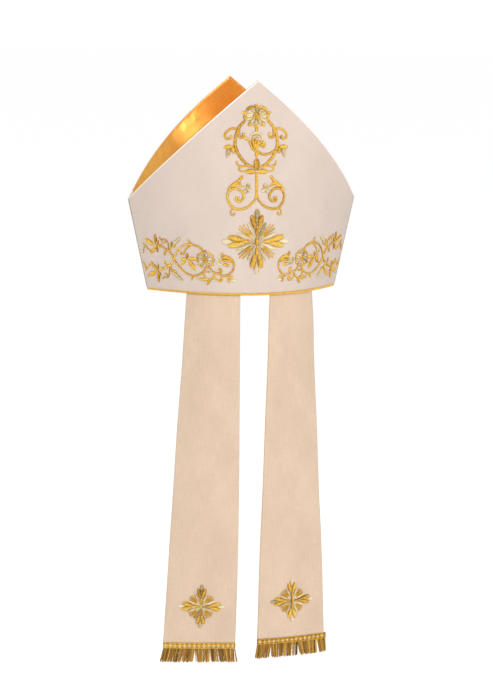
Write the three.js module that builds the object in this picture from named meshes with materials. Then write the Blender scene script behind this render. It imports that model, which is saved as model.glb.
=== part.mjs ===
// A bishop's mitre with two lappets.
// Millimetres, +Z up. The origin is the centre of the rim opening, where the mitre sits on a head.
// -Y is the mitre's back, the side that the lappets hang from.
import * as THREE from "three";

// ---- Driving dimensions ----------------------------------------------------------------------

const RIM_HALF_WIDTH = 122; // side crease to centre, at the rim
const CORNER_HALF_WIDTH = 146; // side crease to centre, where the two horns part
const BOW = 75; // how far the middle of each panel stands out from the side creases
const CORNER_HEIGHT = 111; // rim to the corners where the horns part
const PEAK_HEIGHT = 259; // rim to the tips of the horns
const EDGE_BULGE = 10.5; // how far a slanted edge swells past a straight line
const HORN_FLATTENING = 0.54; // how slowly a horn's bow fades towards its tip, 0 to 1

const PANEL_THICKNESS = 2;
const SATIN_THICKNESS = 1;
const LAPPET_THICKNESS = 2;
const GAP = 0.3; // kept between neighbouring pieces

const CORD_RADIUS = 1.25;
const CORD_CORNER_RADIUS = 7; // the cord's bend round a side crease

const SATIN_HALF_WIDTH = 139; // the satin stops just short of the corners
const SATIN_BELOW_EDGE = 0.8; // top hem of the satin, below the horn's slanted edge
const SADDLE_MIDDLE = 101; // height of the fold between the horns, at the centre
const SADDLE_END = 106; // and near the corners
const SADDLE_SQUARENESS = 4; // exponent of the fold's rounded U section

const LAPPET_TUCK = 12; // sewn up inside the rim
const LAPPET_CLEARANCE = 0.7; // from the panel's inner face
const LAPPET_TOP_INNER_X = 19; // the two lappets' facing edges, at the rim
const LAPPET_TOP_OUTER_X = 79;
const LAPPET_LENGTH = 446; // rim to the braid

const BRAID_HEIGHT = 6.2;
const BRAID_THICKNESS = 3.4;
const FRINGE_HEIGHT = 19;
const FRINGE_THICKNESS = 3;
const BRAID_FLARE = 0.4; // extra half width at the braid's lower end
const FRINGE_FLARE = 2.5; // and at the fringe's

// Each lappet's lower end as it hangs: centre, half width, turn about the vertical, and how far its
// middle stands out behind its edges.
const LAPPET_END = {
  left: { centreX: -65, centreY: -59, halfWidth: 45.3, turnDeg: -13, bow: 1.5 },
  right: { centreX: 56, centreY: -56, halfWidth: 45.3, turnDeg: 6, bow: 1.5 },
};

const PANEL_GRID = { columns: 26, rows: 14 };
const SATIN_GRID = { columns: 24, rows: 20 };
const CORD_STEPS = 88;
const CORD_SIDES = 8;
const LAPPET_ROWS = 14;
const LAPPET_COLUMNS = 10;
const TANGENT_STEP = 0.02; // of a lappet's half width

const COLOURS = { cloth: 0xe8dccb, satin: 0xe89a3a, gold: 0xc9992e, fringe: 0x9c7428 };

// ---- Helpers ---------------------------------------------------------------------------------

const mix = (a, b, t) => a + (b - a) * t;
const clamp = (v, low, high) => Math.min(high, Math.max(low, v));

// A closed sheet: two grids of points, face(u, v, 0) and face(u, v, 1), joined round their border.
function sheetGeometry(face, columns, rows) {
  const width = columns + 1;
  const layer = width * (rows + 1);
  const points = [];
  for (const side of [0, 1])
    for (let j = 0; j <= rows; j++)
      for (let i = 0; i <= columns; i++) points.push(...face(i / columns, j / rows, side));
  const index = [];
  const quad = (a, b, c, d) => index.push(a, b, c, a, c, d);
  for (let j = 0; j < rows; j++)
    for (let i = 0; i < columns; i++) {
      const a = j * width + i;
      quad(a, a + 1, a + 1 + width, a + width);
      quad(layer + a, layer + a + width, layer + a + width + 1, layer + a + 1);
    }
  const border = [];
  for (let i = 0; i < columns; i++) border.push(i);
  for (let j = 0; j < rows; j++) border.push(j * width + columns);
  for (let i = columns; i > 0; i--) border.push(rows * width + i);
  for (let j = rows; j > 0; j--) border.push(j * width);
  border.forEach((a, k) => {
    const b = border[(k + 1) % border.length];
    quad(b, a, layer + a, layer + b);
  });
  if (signedVolume(points, index) < 0)
    for (let i = 0; i < index.length; i += 3) [index[i], index[i + 1]] = [index[i + 1], index[i]];
  const geometry = new THREE.BufferGeometry();
  geometry.setAttribute("position", new THREE.Float32BufferAttribute(points, 3));
  geometry.setIndex(index);
  geometry.computeVertexNormals();
  return geometry;
}

function signedVolume(points, index) {
  const corner = (i) => new THREE.Vector3().fromArray(points, 3 * index[i]);
  let sum = 0;
  for (let i = 0; i < index.length; i += 3)
    sum += corner(i).dot(corner(i + 1).cross(corner(i + 2)));
  return sum;
}

function named(name, geometry, color, roughness, metalness = 0) {
  const material = new THREE.MeshStandardMaterial({ color, roughness, metalness });
  const mesh = new THREE.Mesh(geometry, material);
  mesh.name = name;
  return mesh;
}

// ---- The crown's shape -----------------------------------------------------------------------

// Half width between the side creases, up to the corners.
const creaseX = (z) => mix(RIM_HALF_WIDTH, CORNER_HALF_WIDTH, z / CORNER_HEIGHT);

// Height of a horn's slanted edge at a distance x from the centre.
function edgeHeight(x) {
  const sum = CORNER_HALF_WIDTH + 4 * EDGE_BULGE;
  const root = Math.sqrt(sum ** 2 - 16 * EDGE_BULGE * Math.min(Math.abs(x), CORNER_HALF_WIDTH));
  return mix(PEAK_HEIGHT, CORNER_HEIGHT, (sum - root) / (8 * EDGE_BULGE));
}

// How fast a panel falls away from its middle: depth is BOW - curl(z) * x * x.
function curl(z) {
  if (z <= CORNER_HEIGHT) return BOW / creaseX(z) ** 2;
  const f = (z - CORNER_HEIGHT) / (PEAK_HEIGHT - CORNER_HEIGHT);
  return (BOW / CORNER_HALF_WIDTH ** 2) * (1 - f) * (1 + HORN_FLATTENING * f);
}

// Depth of a panel's surface, a given distance inside its outer face.
function panelDepth(x, z, inset) {
  const slope = 2 * curl(z) * x;
  return BOW - curl(z) * x * x - inset * Math.sqrt(1 + slope * slope);
}

// A point a given distance inside the panel's outer face, square to it, short of the side seam.
function insetPoint(x, z, inset) {
  const slope = 2 * curl(z) * x;
  const along = inset / Math.sqrt(1 + slope * slope);
  const depth = BOW - curl(z) * x * x - along;
  return [x - along * slope, Math.max(depth, GAP / 2)];
}

// The panel, laid out in columns that fan out from the rim and end on the slanted edge.
function panelGeometry(side) {
  const face = (u, v, inner) => {
    const across = 2 * u - 1;
    const top = edgeHeight(across * CORNER_HALF_WIDTH);
    const z = v * top;
    const x = across * (z < CORNER_HEIGHT ? creaseX(z) : CORNER_HALF_WIDTH);
    const [px, depth] = insetPoint(x, z, inner ? PANEL_THICKNESS : 0);
    return [px, side * depth, z];
  };
  return sheetGeometry(face, PANEL_GRID.columns, PANEL_GRID.rows);
}

// The satin runs down one horn, across the fold and up the other.
function gussetGeometry() {
  const face = (u, v, under) => {
    const across = 2 * u - 1;
    const x = across * SATIN_HALF_WIDTH;
    const top = edgeHeight(x) - SATIN_BELOW_EDGE;
    const saddle = mix(SADDLE_MIDDLE, SADDLE_END, Math.abs(across) ** 3);
    const angle = (2 * v - 1) * (Math.PI / 2);
    const out = Math.abs(Math.sin(angle)) ** (2 / SADDLE_SQUARENESS) * Math.sign(angle);
    const down = Math.cos(angle) ** (2 / SADDLE_SQUARENESS);
    const level = mix(top, saddle, down);
    const z = level + (under ? 0 : SATIN_THICKNESS * down);
    const inset = PANEL_THICKNESS + GAP + (under ? 0 : SATIN_THICKNESS);
    return [x, out * panelDepth(x, level, inset), z];
  };
  return sheetGeometry(face, SATIN_GRID.columns, SATIN_GRID.rows);
}

// ---- The cord round the rim ------------------------------------------------------------------

// The rim's mid line, with a round bend in place of each side crease.
class RimLine extends THREE.Curve {
  getPoint(t, target = new THREE.Vector3()) {
    const turn = 2 * Math.PI * t;
    const c = Math.cos(turn);
    const s = Math.sin(turn);
    const x = RIM_HALF_WIDTH * c;
    const open = panelDepth(x, 0, PANEL_THICKNESS / 2);
    const creased = Math.hypot(Math.max(open, 0), CORD_CORNER_RADIUS * s);
    const pull = CORD_CORNER_RADIUS * 0.35 * Math.abs(c) ** 40;
    const z = -(GAP + CORD_RADIUS);
    return target.set(x - Math.sign(c) * pull, Math.sign(s) * creased, z);
  }
}

const cordGeometry = () => new THREE.TubeGeometry(new RimLine(), CORD_STEPS, CORD_RADIUS, CORD_SIDES, true);

// ---- Lappets ---------------------------------------------------------------------------------

// A point of the lappet's middle surface: its top row follows the inside of the rim, and it passes
// evenly from there to its lower end.
function lappetPoint(name, across, z) {
  const sign = name === "left" ? -1 : 1;
  const end = LAPPET_END[name];
  const turn = THREE.MathUtils.degToRad(end.turnDeg);
  const bend = end.bow * across * across;
  const endX = end.centreX + across * end.halfWidth * Math.cos(turn) - bend * Math.sin(turn);
  const endY = end.centreY + across * end.halfWidth * Math.sin(turn) + bend * Math.cos(turn);
  const reach = mix(LAPPET_TOP_INNER_X, LAPPET_TOP_OUTER_X, (1 + sign * across) / 2);
  const inset = PANEL_THICKNESS + LAPPET_CLEARANCE + LAPPET_THICKNESS / 2;
  const rimY = -panelDepth(reach, Math.max(z, 0), inset);
  const hang = clamp(-z / LAPPET_LENGTH, 0, 1);
  return new THREE.Vector3(mix(sign * reach, endX, hang), mix(rimY, endY, hang), z);
}

// A band cut from the lappet's line through the given levels, highest first, with its own thickness.
function bandGeometry(name, levels, thickness, flare, columns) {
  const rows = levels.length - 1;
  const face = (u, v, inner) => {
    const z = levels[Math.round(v * rows)];
    const level = Math.max(z, -LAPPET_LENGTH);
    const across = (2 * u - 1) * (1 + (flare * v) / LAPPET_END[name].halfWidth);
    const tangent = lappetPoint(name, across + TANGENT_STEP, level);
    tangent.sub(lappetPoint(name, across - TANGENT_STEP, level)).normalize();
    const p = lappetPoint(name, across, level);
    const push = (inner ? 0.5 : -0.5) * thickness;
    return [p.x - tangent.y * push, p.y + tangent.x * push, z];
  };
  return sheetGeometry(face, columns, rows);
}

// ---- The object ------------------------------------------------------------------------------

const mitre = new THREE.Group();

mitre.add(named("back_panel", panelGeometry(-1), COLOURS.cloth, 0.9));
mitre.add(named("front_panel", panelGeometry(1), COLOURS.cloth, 0.9));
mitre.add(named("satin_gusset", gussetGeometry(), COLOURS.satin, 0.4));
mitre.add(named("rim_cord", cordGeometry(), COLOURS.gold, 0.5, 0.5));

const lappetLevels = [LAPPET_TUCK, LAPPET_TUCK / 2, 0];
for (let k = 1; k <= LAPPET_ROWS; k++) lappetLevels.push((-LAPPET_LENGTH * k) / LAPPET_ROWS);
const braidTop = -LAPPET_LENGTH - GAP;
const braidLow = braidTop - BRAID_HEIGHT;
const fringeTop = braidLow - GAP;
const fringeLow = fringeTop - FRINGE_HEIGHT;
for (const name of ["left", "right"]) {
  const cloth = bandGeometry(name, lappetLevels, LAPPET_THICKNESS, 0, LAPPET_COLUMNS);
  mitre.add(named(`lappet_${name}`, cloth, COLOURS.cloth, 0.9));
  const braid = bandGeometry(name, [braidTop, braidLow], BRAID_THICKNESS, BRAID_FLARE, LAPPET_COLUMNS);
  mitre.add(named(`braid_${name}`, braid, COLOURS.gold, 0.5, 0.5));
  const fringeLevels = [fringeTop, (fringeTop + fringeLow) / 2, fringeLow];
  const fringe = bandGeometry(name, fringeLevels, FRINGE_THICKNESS, FRINGE_FLARE, LAPPET_COLUMNS);
  mitre.add(named(`fringe_${name}`, fringe, COLOURS.fringe, 0.5, 0.5));
}

export default mitre;
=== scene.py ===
# A bishop's mitre seen from behind, with its two lappets: the looks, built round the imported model.
# Lengths are in millimetres until a mesh is made, and metres in Blender.
import math

import bpy
import numpy as np
from mathutils import Matrix, Vector


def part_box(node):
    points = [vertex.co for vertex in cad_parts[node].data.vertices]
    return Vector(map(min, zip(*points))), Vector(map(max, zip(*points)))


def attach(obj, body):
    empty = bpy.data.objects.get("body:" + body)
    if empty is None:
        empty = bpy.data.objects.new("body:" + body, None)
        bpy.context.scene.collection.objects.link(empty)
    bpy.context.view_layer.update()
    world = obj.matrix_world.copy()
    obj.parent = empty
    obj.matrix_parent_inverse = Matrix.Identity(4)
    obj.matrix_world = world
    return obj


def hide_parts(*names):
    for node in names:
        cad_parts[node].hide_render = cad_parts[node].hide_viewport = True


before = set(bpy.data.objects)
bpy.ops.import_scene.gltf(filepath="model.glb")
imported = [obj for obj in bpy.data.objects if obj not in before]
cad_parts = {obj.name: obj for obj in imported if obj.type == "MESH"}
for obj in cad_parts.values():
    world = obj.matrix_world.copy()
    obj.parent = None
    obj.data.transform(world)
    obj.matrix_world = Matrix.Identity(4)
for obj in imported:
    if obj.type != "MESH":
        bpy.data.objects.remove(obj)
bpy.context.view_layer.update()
rng = np.random.default_rng(7)

MM = 0.001

# ---- The crown's driving sizes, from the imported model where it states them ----

panel_low, panel_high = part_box("back_panel")
CORNER_HALF_WIDTH = panel_high.x / MM
BOW = -panel_low.y / MM
PEAK_HEIGHT = panel_high.z / MM
RIM_HALF_WIDTH = 122.0
CORNER_HEIGHT = 111.0
EDGE_BULGE = 10.5
HORN_FLATTENING = 0.54
PANEL_THICKNESS = 2.0
SEAM_GAP = 0.3

CORD_RADIUS = 1.25
CORD_CORNER_RADIUS = 7.0

SATIN_THICKNESS = 1.0
SATIN_HALF_WIDTH = 139.0
SATIN_BELOW_EDGE = 0.25
SADDLE_MIDDLE = 101.0
SADDLE_END = 106.0
SADDLE_SQUARENESS = 4.0

LAPPET_LENGTH = 446.0
LAPPET_TUCK = 12.0
LAPPET_THICKNESS = 2.0
LAPPET_INSET = PANEL_THICKNESS + 0.7 + LAPPET_THICKNESS / 2
LAPPET_TOP_INNER_X = 19.0
LAPPET_TOP_OUTER_X = 79.0
LAPPET_TOP_HALF_WIDTH = 33.6
LAPPET_END_HALF_WIDTH = 45.3
LAPPET_END_BOW = 1.5
LAPPET_END = {
    "left": dict(x=-65.0, y=-59.0, turn=-13.0),
    "right": dict(x=56.0, y=-56.0, turn=6.0),
}
BRAID_HEIGHT = 6.2
FRINGE_HEIGHT = 19.0
FRINGE_FLARE = 4.0
BRAID_OVERHANG = {"left": 0.3, "right": 2.8}  # past the lappet's right edge


def mix(a, b, t):
    return a + (b - a) * t


def smooth(t):
    t = np.clip(t, 0.0, 1.0)
    return t * t * (3 - 2 * t)


def length_along(line):
    """The length of a line up to each of its points."""
    return np.concatenate([[0], np.cumsum(np.linalg.norm(np.diff(line, axis=0), axis=1))])


def crease_x(z):
    return mix(RIM_HALF_WIDTH, CORNER_HALF_WIDTH, np.minimum(z, CORNER_HEIGHT) / CORNER_HEIGHT)


def edge_height(x):
    """Height of a horn's slanted edge at a distance x from the centre line."""
    total = CORNER_HALF_WIDTH + 4 * EDGE_BULGE
    reach = np.minimum(np.abs(x), CORNER_HALF_WIDTH)
    root = np.sqrt(total**2 - 16 * EDGE_BULGE * reach)
    return mix(PEAK_HEIGHT, CORNER_HEIGHT, (total - root) / (8 * EDGE_BULGE))


def curl(z):
    """How fast a panel falls away from its middle: depth is BOW - curl * x * x."""
    z = np.asarray(z, float)
    f = np.clip((z - CORNER_HEIGHT) / (PEAK_HEIGHT - CORNER_HEIGHT), 0, 0.999)
    horn = BOW / CORNER_HALF_WIDTH**2 * (1 - f) * (1 + HORN_FLATTENING * f)
    return np.where(z <= CORNER_HEIGHT, BOW / crease_x(z) ** 2, horn)


def arc_at_x(x, z):
    """Length along the cloth from the centre line to a point at a distance x from it."""
    k = 2 * curl(z)
    return x / 2 * np.sqrt(1 + (k * x) ** 2) + np.arcsinh(k * x) / (2 * k)


def x_at_arc(arc, z):
    """The distance x of a point that lies a given length along the cloth. Newton's method."""
    x = np.array(arc, float)
    for _ in range(5):
        x = x - (arc_at_x(x, z) - arc) / np.sqrt(1 + (2 * curl(z) * x) ** 2)
    return x


def panel_point(x, z, lift, side):
    """A point off a panel's outer face. side is -1 for the back panel and 1 for the front one."""
    slope = 2 * curl(z) * x
    norm = np.sqrt(1 + slope**2)
    depth = BOW - curl(z) * x * x + lift / norm
    return np.stack([x + lift * slope / norm, side * depth, z + 0 * x], -1)


def on_panel(side):
    """Maps cloth coordinates (along, up, lift) onto a panel, the same way round from outside."""

    def place(p):
        x = x_at_arc(-side * p[..., 0], p[..., 1])
        return panel_point(x, p[..., 1], p[..., 2], side)

    return place


def lappet_point(name, across, z, lift):
    """A point off a lappet's middle surface; across runs from -1 to 1, and lift is outwards."""
    sign = -1 if name == "left" else 1
    end = LAPPET_END[name]
    turn = math.radians(end["turn"])

    def middle(s):
        bend = LAPPET_END_BOW * s * s
        reach = s * LAPPET_END_HALF_WIDTH
        end_x = end["x"] + reach * math.cos(turn) - bend * math.sin(turn)
        end_y = end["y"] + reach * math.sin(turn) + bend * math.cos(turn)
        reach = mix(LAPPET_TOP_INNER_X, LAPPET_TOP_OUTER_X, (1 + sign * s) / 2)
        top_curl = curl(np.maximum(z, 0))
        slope = 2 * top_curl * reach
        rim_y = -(BOW - top_curl * reach**2 - LAPPET_INSET * np.sqrt(1 + slope**2))
        hang = np.clip(-z / LAPPET_LENGTH, 0, 1)
        return mix(sign * reach, end_x, hang), mix(rim_y, end_y, hang)

    x, y = middle(across)
    ahead_x, ahead_y = middle(across + 0.02)
    dx, dy = ahead_x - x, ahead_y - y
    length = np.hypot(dx, dy)
    wider = across * LAPPET_SWELL[name](across, np.clip(-z / LAPPET_LENGTH, 0, 1))
    x, y = x + dx / length * wider, y + dy / length * wider
    out = lift + LAPPET_RIPPLE[name](across, z) * smooth(-z / 90)
    return np.stack([x + dy / length * out, y - dx / length * out, z + 0 * x], -1)


# How much wider than a straight-sided band each lappet hangs, and how its face ripples.
LAPPET_SWELL = {
    "left": lambda s, hang: (1.1 + 0.9 * s) * np.sin(math.pi * hang**1.4),
    "right": lambda s, hang: (1 + s) * 1.2 * np.sin(math.pi * hang**0.35),
}
LAPPET_RIPPLE = {
    "left": lambda s, z: 0.9 * np.sin(z / 61.0 + 1.2 * s) + 0.5 * np.sin(z / 23.0 - 2.0 * s + 1),
    "right": lambda s, z: 1.0 * np.sin(z / 70.0 - 1.4 * s + 2) + 0.5 * np.sin(z / 27.0 + 1.7 * s),
}


def lappet_half_width(z):
    return mix(LAPPET_TOP_HALF_WIDTH, LAPPET_END_HALF_WIDTH, np.clip(-z / LAPPET_LENGTH, 0, 1))


def on_lappet(name):
    """Maps cloth coordinates (along, up, lift) onto a lappet's outer face."""

    def place(p):
        z = p[..., 1]
        across = p[..., 0] / lappet_half_width(z)
        return lappet_point(name, across, z, p[..., 2] + LAPPET_THICKNESS / 2)

    return place


# ---- Materials ----


class Nodes:
    """A new material with a Principled shader, and short calls to add and join nodes."""

    def __init__(self, name, **settings):
        self.material = bpy.data.materials.new(name)
        self.material.use_nodes = True
        self.tree = self.material.node_tree
        self.shader = self.tree.nodes["Principled BSDF"]
        for key, value in settings.items():
            self.shader.inputs[key.replace("_", " ")].default_value = value

    def add(self, kind, **settings):
        node = self.tree.nodes.new(kind)
        for key, value in settings.items():
            setattr(node, key, value)
        return node

    def join(self, source, output, target, entry):
        self.tree.links.new(source.outputs[output], target.inputs[entry])

    def fed(self, node, values):
        """The node's result, once its first inputs are set from sockets or plain numbers."""
        for entry, value in enumerate(values):
            if isinstance(value, bpy.types.NodeSocket):
                self.tree.links.new(value, node.inputs[entry])
            else:
                node.inputs[entry].default_value = value
        return node.outputs[0]

    def math(self, operation, *values):
        return self.fed(self.add("ShaderNodeMath", operation=operation), values)

    def plus(self, a, b):
        return self.math("ADD", a, b)

    def times(self, a, b):
        return self.math("MULTIPLY", a, b)

    def uv(self):
        node = self.add("ShaderNodeUVMap", uv_map="cloth")
        split = self.add("ShaderNodeSeparateXYZ")
        self.join(node, "UV", split, "Vector")
        return split.outputs["X"], split.outputs["Y"]

    def noise(self, u, v, detail, scale=1.0):
        node = self.add("ShaderNodeTexNoise")
        node.inputs["Scale"].default_value = scale
        node.inputs["Detail"].default_value = detail
        place = self.fed(self.add("ShaderNodeCombineXYZ"), (u, v))
        self.tree.links.new(place, node.inputs["Vector"])
        return node.outputs["Fac"]

    def ramp(self, factor, stops):
        """Colours the shader by a number, through stops of (place, colour)."""
        node = self.add("ShaderNodeValToRGB")
        elements = node.color_ramp.elements
        elements[0].position, elements[0].color = stops[0][0], (*stops[0][1], 1)
        elements[1].position, elements[1].color = stops[-1][0], (*stops[-1][1], 1)
        for place, colour in stops[1:-1]:
            elements.new(place).color = (*colour, 1)
        self.tree.links.new(factor, node.inputs["Fac"])
        self.join(node, "Color", self.shader, "Base Color")

    def bump(self, height, distance, strength):
        node = self.add("ShaderNodeBump")
        node.inputs["Distance"].default_value = distance
        node.inputs["Strength"].default_value = strength
        self.tree.links.new(height, node.inputs["Height"])
        self.join(node, "Normal", self.shader, "Normal")


def ridges(nodes, coordinate, pitch):
    """A smooth ridge for each thread, from -1 to 1, along a coordinate in millimetres."""
    return nodes.math("SINE", nodes.times(coordinate, 2 * math.pi / pitch))


WEAVE_PITCH = 1.24  # two threads, one over and one under


def woven_cloth(name, light, dark, slub=0.5):
    """Plain weave: threads over and under each other, uneven along their length."""
    n = Nodes(name, Roughness=0.88, Sheen_Weight=0.12, Sheen_Roughness=0.5)
    n.shader.inputs["Specular IOR Level"].default_value = 0.2
    u, v = n.uv()
    over = n.math("ABSOLUTE", n.times(ridges(n, u, WEAVE_PITCH), ridges(n, v, WEAVE_PITCH)))
    along_warp = n.noise(n.times(u, 1.1), n.times(v, 0.06), 3)
    along_weft = n.noise(n.times(u, 0.07), v, 3)
    broad = n.noise(u, n.times(v, 0.6), 2, scale=0.026)
    streak = n.plus(n.times(along_warp, slub), n.times(along_weft, 0.8 * slub))
    tone = n.plus(streak, n.times(over, 0.16))
    tone = n.plus(n.times(tone, 0.62), n.times(broad, 0.35))
    middle = 0.62 * (0.9 * slub + 0.05) + 0.175
    n.ramp(tone, [(middle - 0.22, dark), (middle + 0.22, light)])
    n.bump(n.plus(n.times(over, 0.6), n.times(streak, 0.9)), 0.0002, 0.7)
    return n.material


def edge_painted_highlight(name):
    """A painted highlight: near-white cloth for the top strip of the stiffened cloth's rounded slanted
    edge, where the light catches it.
    """
    n = Nodes(name, Roughness=0.7)
    u, v = n.uv()
    grain = n.noise(n.times(u, 1.2), n.times(v, 1.2), 2)
    n.ramp(grain, [(0.3, (0.9, 0.86, 0.8)), (0.7, (0.98, 0.96, 0.93))])
    n.bump(grain, 0.0001, 0.5)
    return n.material


def satin_cloth(name):
    """Glossy woven satin with fine threads one way, with painted light: yellower and brighter away from
    the middle.
    """
    n = Nodes(name, Roughness=0.25, Metallic=0.35)
    n.shader.inputs["Specular IOR Level"].default_value = 0.9
    n.shader.inputs["Specular Tint"].default_value = (1.0, 0.88, 0.42, 1)
    u, v = n.uv()
    threads = n.noise(n.times(u, 2.2), n.times(v, 0.05), 2)
    cross = n.noise(n.times(u, 0.03), n.times(v, 0.6), 2)
    tone = n.plus(n.times(threads, 0.5), n.times(cross, 0.5))
    # painted light: the satin made brighter and yellower the further it lies from the middle
    outwards = n.times(n.math("ABSOLUTE", u), 0.0062)
    tone = n.plus(n.math("SUBTRACT", tone, 0.5), outwards)
    n.ramp(tone, [(0.0, (0.84, 0.275, 0.03)), (0.8, (1.0, 0.59, 0.125))])
    n.bump(n.plus(threads, n.times(cross, 1.6)), 0.0002, 0.5)
    return n.material


def thread(name, stops, pitch=0.8, metallic=0.32, edge=0.42, own=0.6):
    """Satin stitch in metal-wrapped thread.

    u runs along the row of stitches in millimetres, and v from one edge, -1, to the other, 1,
    where the stitches sink into the cloth and are darkened there by painted shade, as much as
    edge says. The thousands in u, from 0 to 9, hold the tone of the whole thing drawn: a random
    step and, for leaves, a painted highlight and shade by how their stitches lie. own is how much
    that counts. The thread ridges and the speckle also paint fine highlights and shade into the
    colour, besides making the bump.
    """
    n = Nodes(name, Roughness=0.33, Metallic=metallic)
    u, v = n.uv()
    wander = n.noise(n.times(u, 0.8), v, 2)
    # ridge: the thread pattern in the bump, and fine painted highlights and shade in the colour
    ridge = ridges(n, n.plus(u, n.times(wander, 0.5)), pitch)
    # each piece's tone step: random, and for leaves also a painted highlight and shade
    tone_and_glint = n.times(n.math("FLOOR", n.math("DIVIDE", u, 1000.0)), 0.1)
    # speckle: texture in the bump, and painted glints and shade in the colour
    fleck_and_glint = n.noise(n.times(u, 0.5), n.times(v, 0.9), 3)
    # painted shade: the stitches darkened towards both edges, where they sink into the cloth
    painted_edge_shade = n.times(n.math("POWER", n.math("ABSOLUTE", v), 3.0), -edge)
    tone = n.plus(n.times(tone_and_glint, own), 0.5 - 0.5 * own)
    tone = n.plus(tone, n.times(ridge, 0.10))
    tone = n.plus(tone, n.times(n.math("SUBTRACT", fleck_and_glint, 0.5), 0.9))
    tone = n.plus(tone, painted_edge_shade)
    n.ramp(tone, stops)
    n.bump(n.plus(ridge, n.times(fleck_and_glint, 2.5)), 0.00016, 0.9)
    return n.material


# Each thread's stops run from a painted shade colour, through its own colour, to a painted highlight
# colour.
GOLD_STOPS = [(0.1, (0.33, 0.125, 0.008)), (0.5, (1.0, 0.59, 0.065)), (0.9, (1.0, 0.86, 0.28))]
SILVER_STOPS = [(0.1, (0.44, 0.32, 0.13)), (0.5, (0.94, 0.78, 0.46)), (0.9, (1.0, 0.94, 0.74))]
BULLION_STOPS = [(0.1, (0.07, 0.032, 0.008)), (0.5, (0.50, 0.25, 0.036)), (0.9, (1.0, 0.60, 0.14))]

CLOTH = woven_cloth("ivory_weave", (0.69, 0.582, 0.512), (0.59, 0.487, 0.425))
LAPPET_CLOTH = woven_cloth("lappet_weave", (0.755, 0.585, 0.445), (0.57, 0.426, 0.314), slub=0.6)
# near-white painted highlight for the slanted edge
EDGE_HIGHLIGHT = edge_painted_highlight("edge_painted_highlight")
SATIN = satin_cloth("gold_satin")
GOLD = thread("gold_stitch", GOLD_STOPS)
SILVER = thread("silver_stitch", SILVER_STOPS, own=1.0, metallic=0.35)
BRAID = thread("braid_gimp", GOLD_STOPS, pitch=0.9)
CORD = thread("twisted_cord", GOLD_STOPS, pitch=1.1, own=0.4, edge=0.0, metallic=0.25)
BULLION = thread("bullion", BULLION_STOPS, pitch=0.9, own=1.5, edge=0.0)

# ---- Meshes ----


def placed(name, data):
    """A new object in the scene."""
    thing = bpy.data.objects.new(name, data)
    bpy.context.scene.collection.objects.link(thing)
    return thing


def new_piece(name, points, faces, uv, material, replaces=()):
    """A smooth mesh that rides on the object. points are in millimetres; uv has one pair a point."""
    mesh = bpy.data.meshes.new(name)
    mesh.from_pydata((np.asarray(points) * MM).tolist(), [], faces)
    layer = mesh.uv_layers.new(name="cloth")
    corners = np.empty(len(mesh.loops), np.int32)
    mesh.loops.foreach_get("vertex_index", corners)
    layer.data.foreach_set("uv", np.asarray(uv, np.float32)[corners].ravel())
    mesh.polygons.foreach_set("use_smooth", np.ones(len(mesh.polygons), bool))
    mesh.materials.append(material)
    mesh.update()
    piece = placed(name, mesh)
    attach(piece, "root")
    if replaces:
        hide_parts(*replaces)
    return piece


def shell(outer, inner, round_edge, uv):
    """A closed sheet between two grids of points. round_edge(i, j) swells the border there."""
    rows, columns = outer.shape[:2]
    count = rows * columns
    points = [outer.reshape(-1, 3), inner.reshape(-1, 3)]
    uvs = [uv.reshape(-1, 2), uv.reshape(-1, 2)]
    index = np.arange(count).reshape(rows, columns)
    a, b = index[:-1, :-1].ravel(), index[:-1, 1:].ravel()
    c, d = index[1:, 1:].ravel(), index[1:, :-1].ravel()
    faces = np.stack([a, b, c, d], 1).tolist()
    faces += (np.stack([a, d, c, b], 1) + count).tolist()
    border = [(0, j) for j in range(columns - 1)]
    border += [(i, columns - 1) for i in range(rows - 1)]
    border += [(rows - 1, j) for j in range(columns - 1, 0, -1)]
    border += [(i, 0) for i in range(rows - 1, 0, -1)]
    middle = []
    for i, j in border:
        within = (min(max(i, 1), rows - 2), min(max(j, 1), columns - 2))
        centre = (outer[i, j] + inner[i, j]) / 2
        away = centre - (outer[within] + inner[within]) / 2
        away /= max(np.linalg.norm(away), 1e-9)
        middle.append(centre + away * round_edge(i, j))
        uvs.append(uv[i, j][None])
    points.append(np.array(middle))
    for k, (i, j) in enumerate(border):
        ni, nj = border[(k + 1) % len(border)]
        this, following = 2 * count + k, 2 * count + (k + 1) % len(border)
        faces.append([index[ni, nj], index[i, j], this, following])
        faces.append([following, this, index[i, j] + count, index[ni, nj] + count])
    points = np.concatenate(points)
    return points, face_outwards(points, faces), np.concatenate(uvs)


def face_outwards(points, faces):
    """Turns every face round if the closed mesh is inside out."""
    quads = np.array(faces)
    p = points[quads]
    volume = np.einsum("ij,ij->i", p[:, 0], np.cross(p[:, 1], p[:, 2])).sum()
    volume += np.einsum("ij,ij->i", p[:, 0], np.cross(p[:, 2], p[:, 3])).sum()
    return quads[:, ::-1].tolist() if volume < 0 else quads.tolist()


class Relief:
    """Raised stitching gathered into one mesh, laid out flat: (along, up, lift) in millimetres."""

    def __init__(self):
        self.points, self.faces, self.uv, self.total = [], [], [], 0

    def grid(self, points, uv, closed_across=False, tone=5.0):
        """Adds one thing drawn, with a tone from 0, dark, to 9, bright, moved by a random step; a leaf's
        tone is a painted highlight and shade by how it lies.
        """
        rows, columns = points.shape[:2]
        index = np.arange(rows * columns).reshape(rows, columns) + self.total
        following = np.roll(index, -1, axis=1)
        span = slice(None) if closed_across else slice(None, -1)
        a, b = index[:-1, span], following[:-1, span]
        c, d = following[1:, span], index[1:, span]
        self.faces.append(np.stack([a.ravel(), b.ravel(), c.ravel(), d.ravel()], 1))
        shade = 1000.0 * round(min(max(tone + rng.normal(0, 1.1), 0), 9))
        start = 100 + 13.7 * (len(self.points) % 40)
        self.uv.append(uv.reshape(-1, 2) + np.array([shade + start, 0]))
        self.points.append(points.reshape(-1, 3))
        self.total += rows * columns

    def piece(self, name, place, material, slot, replaces=()):
        points = place(np.concatenate(self.points))
        faces = np.concatenate(self.faces).tolist()
        return new_piece(name, points, faces, np.concatenate(self.uv), material, replaces)


STITCH_STEP = 0.7


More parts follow.
